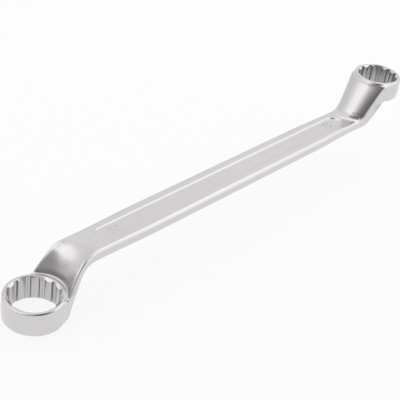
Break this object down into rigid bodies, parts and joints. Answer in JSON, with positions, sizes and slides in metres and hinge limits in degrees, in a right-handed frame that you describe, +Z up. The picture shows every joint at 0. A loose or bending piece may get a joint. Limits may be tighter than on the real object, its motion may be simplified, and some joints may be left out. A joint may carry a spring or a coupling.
{
  "type": "ring spanner",
  "caption": "Deep-offset double-ended ring spanner: multi-point ring heads of different sizes on cranked necks, and a flat shank with recessed panels.",
  "frame": {"origin": "middle of the length and of the width, on the plane of the large head's outer face, which is the lowest plane of the tool", "axes": "+X along the shank from the large head to the small one, +Z up along both bolt axes, from the large head's outer face towards the small head's"},
  "size_m": [0.288, 0.03, 0.0489],
  "materials": {
    "chrome_plated_steel": "satin-polished chrome plating over a forged steel body"
  },
  "bodies": {
    "root": {"forged_spanner": "chrome_plated_steel"}
  },
  "joints": []
}
